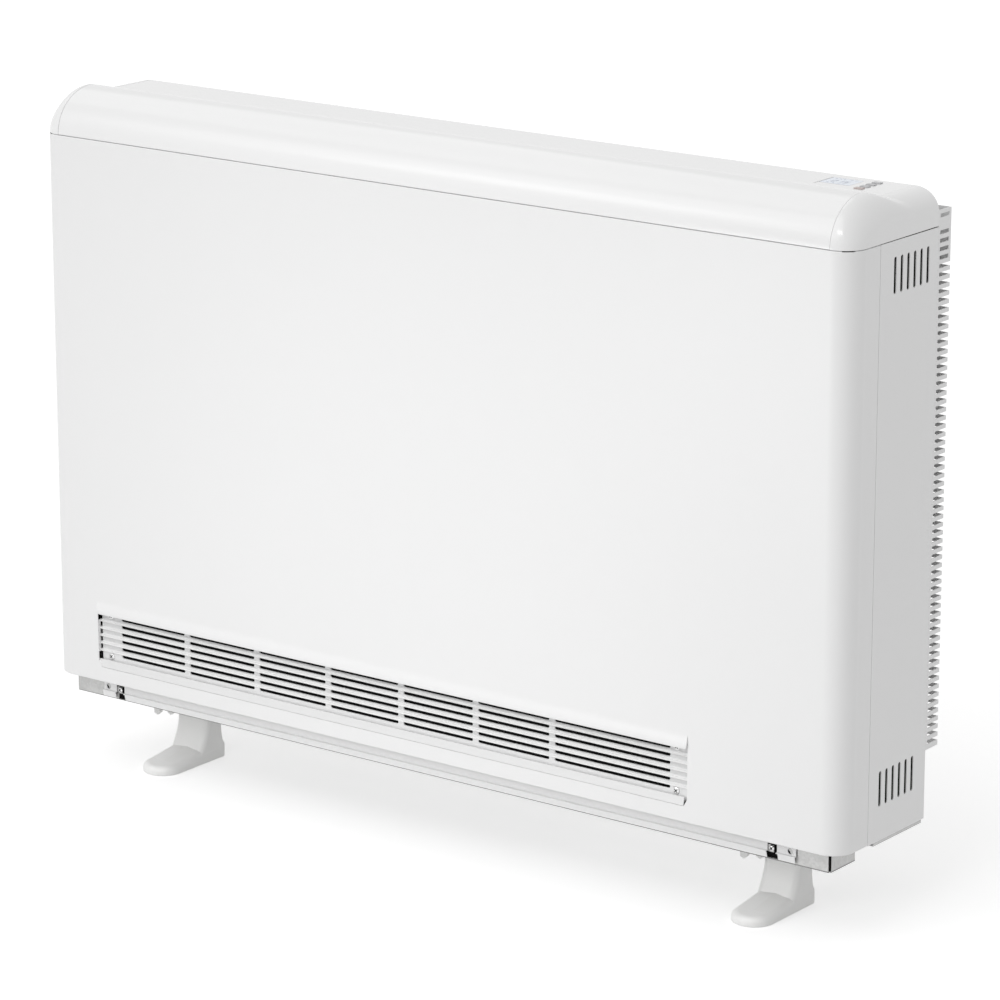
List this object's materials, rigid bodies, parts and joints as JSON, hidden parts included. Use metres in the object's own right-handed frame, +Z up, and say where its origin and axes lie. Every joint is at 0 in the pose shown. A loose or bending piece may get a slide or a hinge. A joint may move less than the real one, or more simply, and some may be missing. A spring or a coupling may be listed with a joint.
{
  "type": "storage heater",
  "caption": "Free-standing fan-assisted storage heater: insulated brick core in a white steel casing with a louvred outlet, top display and buttons, rear wall spacer and moulded feet.",
  "frame": {"origin": "on the floor under the middle of the heater's overall depth and width", "axes": "+Z up, +X to the right seen from the front, -Y towards the front"},
  "size_m": [1, 0.177, 0.73],
  "materials": {
    "white_enamel": "satin powder coat",
    "gloss_white": "gloss",
    "white_plastic": "fine matt",
    "galvanised_steel": "galvanised",
    "zinc_plated_steel": "bright zinc",
    "mineral_board": "rough",
    "storage_ceramic": "rough fired",
    "element_sheath": "oxidised",
    "white_ceramic": "satin",
    "black_coated_aluminium": "anodised",
    "bronze": "satin",
    "laminated_steel": "laminated",
    "bimetal": "satin",
    "circuit_board": "satin",
    "dark_plastic": "matt",
    "display_glass": "clear",
    "menu_button_plastic": "satin",
    "button_plastic": "satin",
    "brown_phenolic": "satin",
    "red_plastic": "gloss",
    "wire_insulation": "satin"
  },
  "bodies": {
    "heater": {"front_panel": "white_enamel", "left_side_panel": "white_enamel", "right_side_panel": "white_enamel", "top_lid": "gloss_white", "left_end_cap": "gloss_white", "right_end_cap": "gloss_white", "rear_panel": "galvanised_steel", "wall_spacer": "white_enamel", "spacer_screws": "zinc_plated_steel", "base_tray": "galvanised_steel", "front_rail": "white_enamel", "panel_screws": "zinc_plated_steel", "outlet_grille": "white_enamel", "grille_screws": "zinc_plated_steel", "left_foot": "white_plastic", "right_foot": "white_plastic", "foot_screws": "zinc_plated_steel", "core_case": "galvanised_steel", "core_cover": "galvanised_steel", "front_insulation": "mineral_board", "rear_insulation": "mineral_board", "left_insulation": "mineral_board", "right_insulation": "mineral_board", "top_insulation": "mineral_board", "base_insulation": "mineral_board", "brick_row_1": "storage_ceramic", "brick_row_2": "storage_ceramic", "brick_row_3": "storage_ceramic", "brick_row_4": "storage_ceramic", "brick_row_5": "storage_ceramic", "brick_row_6": "storage_ceramic", "lower_heating_element": "element_sheath", "middle_heating_element": "element_sheath", "upper_heating_element": "element_sheath", "element_terminals": "white_ceramic", "air_duct": "galvanised_steel", "fan_housing": "galvanised_steel", "fan_bearing": "bronze", "fan_motor": "laminated_steel", "flap_brackets": "galvanised_steel", "flap_actuator": "bimetal", "control_housing": "white_plastic", "control_board": "circuit_board", "display_module": "dark_plastic", "display_window": "display_glass", "thermal_cutout": "brown_phenolic", "core_sensor": "bronze", "room_sensor": "white_plastic", "power_bracket": "galvanised_steel", "power_board": "circuit_board", "terminal_block": "white_ceramic", "cable_gland": "dark_plastic", "wiring_loom": "wire_insulation"},
    "impeller": {"fan_rotor": "black_coated_aluminium"},
    "flap": {"bypass_flap": "galvanised_steel"},
    "menu_key": {"menu_button": "menu_button_plastic"},
    "down_key": {"down_button": "button_plastic"},
    "up_key": {"up_button": "button_plastic"},
    "confirm_key": {"confirm_button": "button_plastic"},
    "reset_key": {"reset_button": "red_plastic"}
  },
  "joints": [
    {"name": "fan_spin", "type": "hinge", "parent": "heater", "child": "impeller", "pos_m": [0, 0.0165, 0.1467], "axis": [1, 0, 0], "continuous": true},
    {"name": "flap_swing", "type": "hinge", "parent": "heater", "child": "flap", "pos_m": [0, -0.0175, 0.1927], "axis": [-1, 0, 0], "range_deg": [0, 30]},
    {"name": "menu_press", "type": "slide", "parent": "heater", "child": "menu_key", "axis": [0, 0, -1], "range_m": [0, 0.0006], "stiffness_N_per_m": 900},
    {"name": "down_press", "type": "slide", "parent": "heater", "child": "down_key", "axis": [0, 0, -1], "range_m": [0, 0.0006], "stiffness_N_per_m": 900},
    {"name": "up_press", "type": "slide", "parent": "heater", "child": "up_key", "axis": [0, 0, -1], "range_m": [0, 0.0006], "stiffness_N_per_m": 900},
    {"name": "confirm_press", "type": "slide", "parent": "heater", "child": "confirm_key", "axis": [0, 0, -1], "range_m": [0, 0.0006], "stiffness_N_per_m": 900},
    {"name": "reset_press", "type": "slide", "parent": "heater", "child": "reset_key", "axis": [-1, 0, 0], "range_m": [0, 0.0012], "stiffness_N_per_m": 900}
  ]
}
